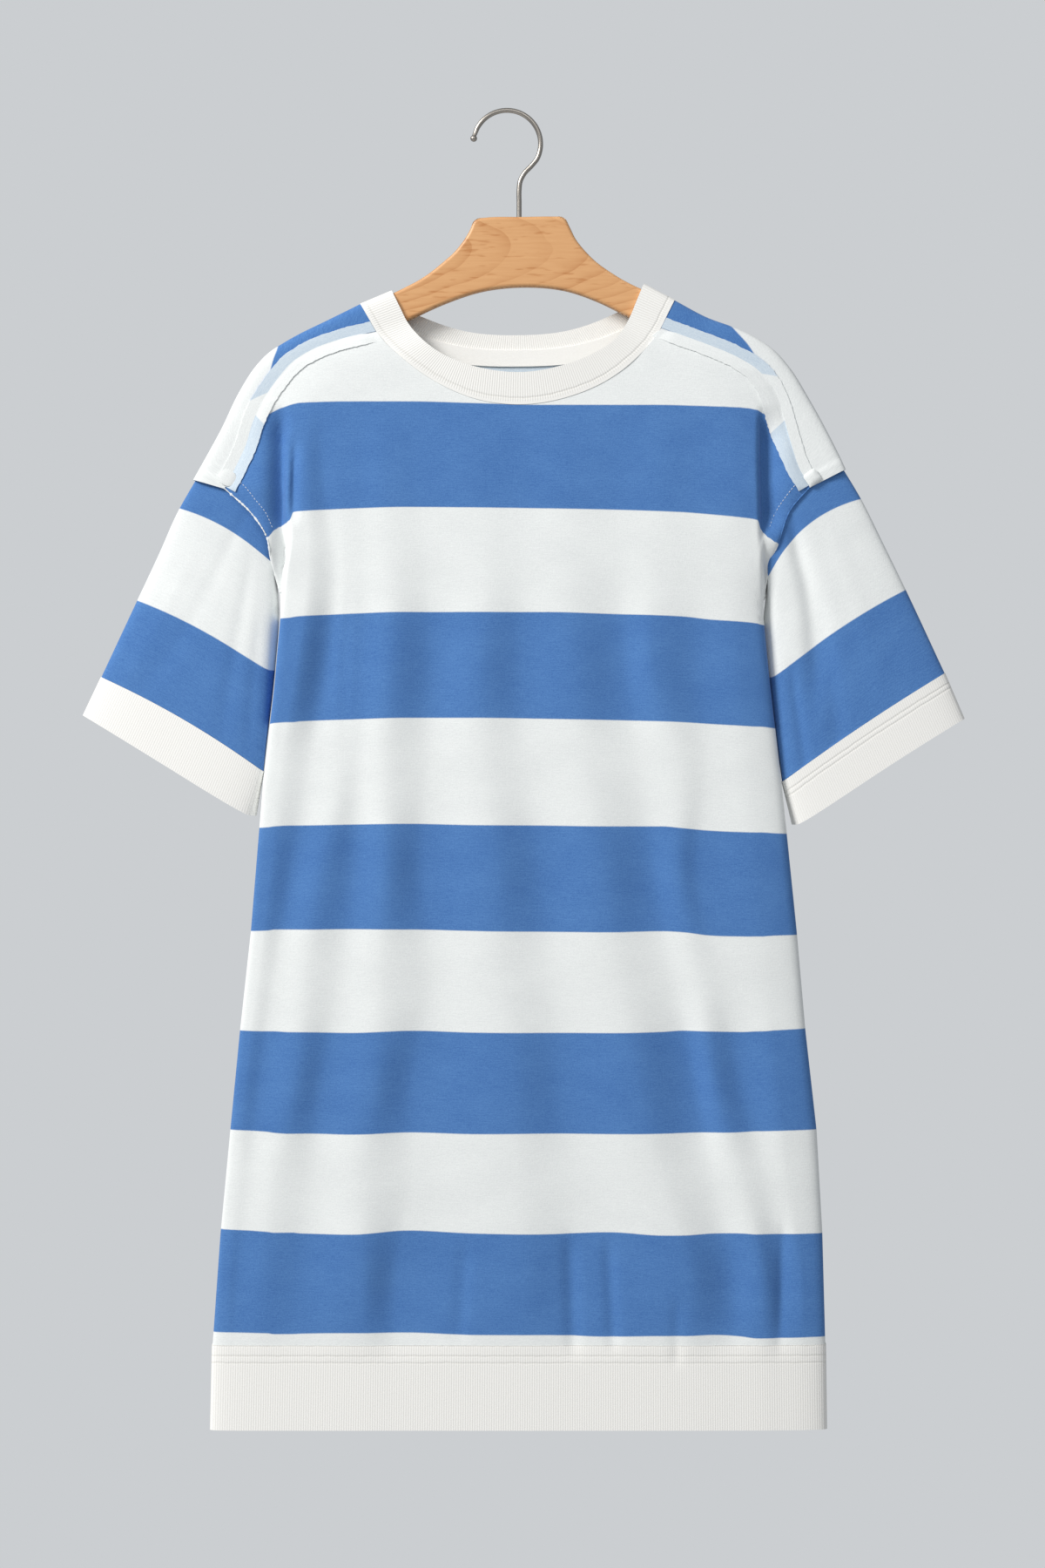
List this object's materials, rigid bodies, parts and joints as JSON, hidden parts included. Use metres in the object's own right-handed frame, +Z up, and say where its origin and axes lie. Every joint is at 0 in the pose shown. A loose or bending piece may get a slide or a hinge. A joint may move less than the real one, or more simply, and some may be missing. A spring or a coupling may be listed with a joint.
{
  "type": "t-shirt dress on a hanger",
  "caption": "Short-sleeved jersey dress with wide horizontal stripes, pressed-open shoulder seams, and a ribbed neckband, cuffs and hem, on a flat wooden hanger with a wire hook.",
  "frame": {"origin": "seat inside the top of the hanger's hook, where the rail or peg bears", "axes": "+X along the hanger, to the right as seen from the front; the front of the dress faces -Y; +Z up"},
  "size_m": [0.7093, 0.0373, 1.0604],
  "materials": {
    "striped_jersey": "matt cotton jersey in wide white and mid-blue stripes",
    "jersey_wrong_side": "wrong side of the jersey, paler, with raw edges",
    "rib": "matt warm-white rib knit",
    "beech": "beech with a satin clear coat",
    "nickel": "satin nickel plate on steel wire"
  },
  "bodies": {
    "root": {"front_panel": "striped_jersey", "back_panel": "striped_jersey", "sleeve_left": "striped_jersey", "sleeve_right": "striped_jersey", "allowance_front_left": "jersey_wrong_side", "allowance_front_right": "jersey_wrong_side", "allowance_back_left": "jersey_wrong_side", "allowance_back_right": "jersey_wrong_side", "neckband": "rib", "cuff_left": "rib", "cuff_right": "rib", "hem_band": "rib", "hanger_wood": "beech", "hanger_hook": "nickel"}
  },
  "joints": []
}
